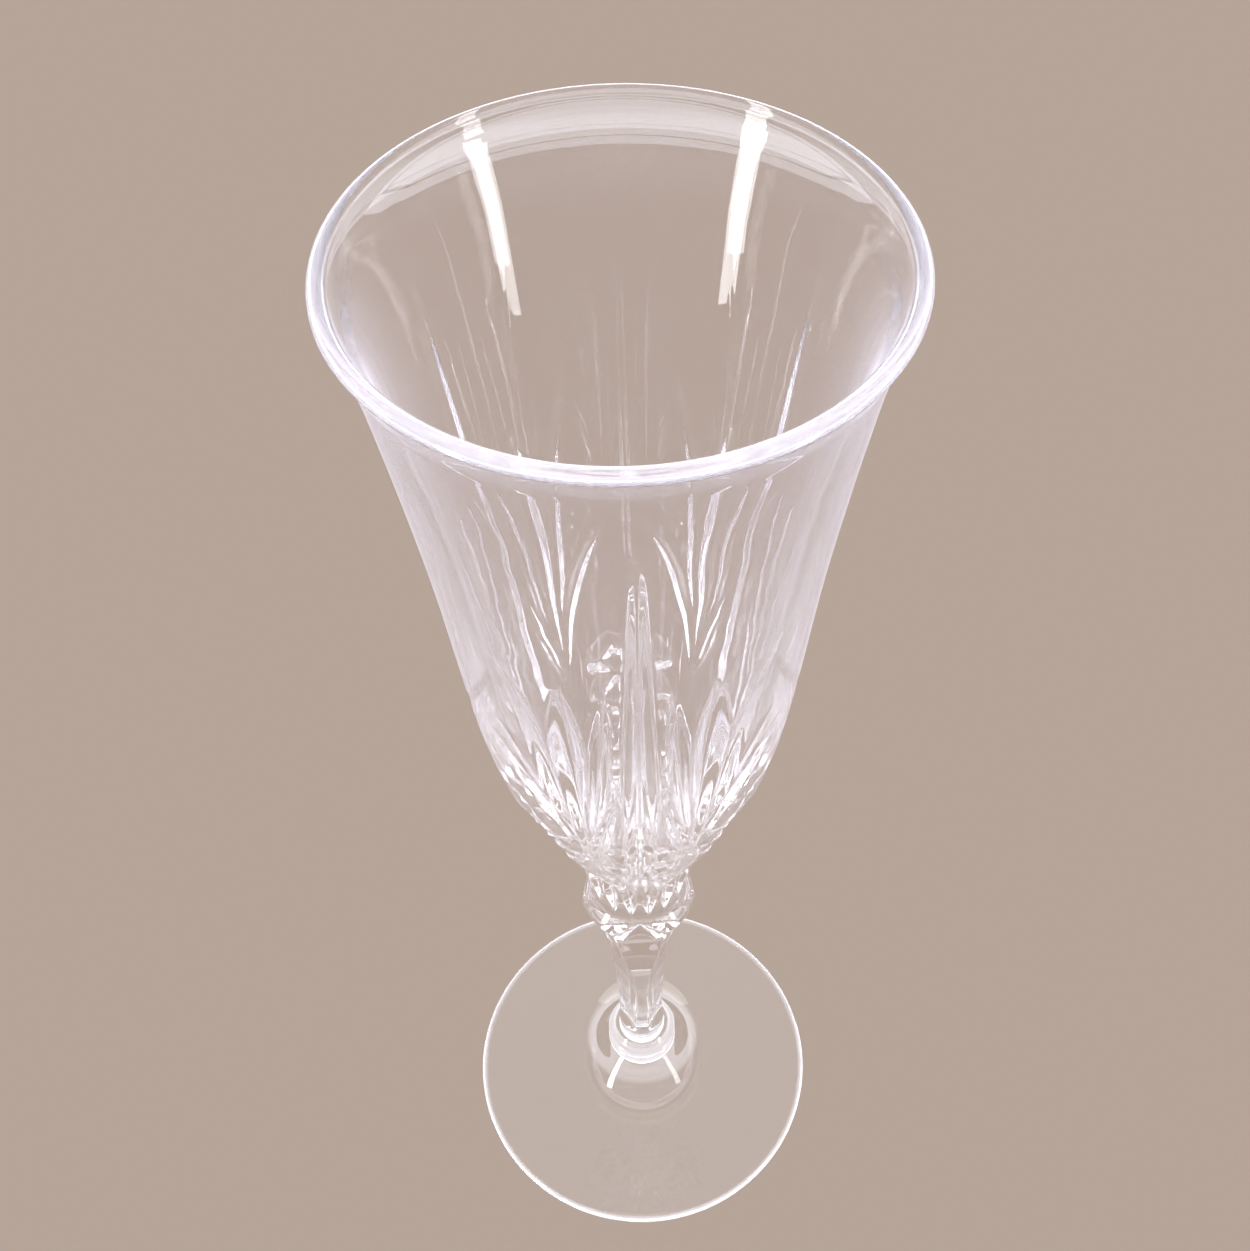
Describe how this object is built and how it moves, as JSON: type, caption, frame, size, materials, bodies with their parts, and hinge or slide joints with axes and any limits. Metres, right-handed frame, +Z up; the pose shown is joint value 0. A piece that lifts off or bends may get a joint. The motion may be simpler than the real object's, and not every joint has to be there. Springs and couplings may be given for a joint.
{
  "type": "champagne flute",
  "caption": "Tall cut-crystal champagne flute: flared bowl with long mitres, fans and diamond panels, on a petal knop, faceted stem, collar and wide round foot.",
  "frame": {"origin": "centre of the foot's underside, on the surface that the glass stands on", "axes": "+Z up along the stem and bowl; -Y is the front, towards the viewer; a long mitre faces almost straight to -Y"},
  "size_m": [0.0632, 0.0632, 0.195],
  "materials": {
    "bowl_crystal": "polished clear cut crystal",
    "stem_crystal": "polished clear cut crystal",
    "foot_crystal": "fire-polished clear crystal"
  },
  "bodies": {
    "root": {"bowl": "bowl_crystal", "petal_knop": "stem_crystal", "stem": "stem_crystal", "stem_collar": "stem_crystal", "foot": "foot_crystal"}
  },
  "joints": []
}
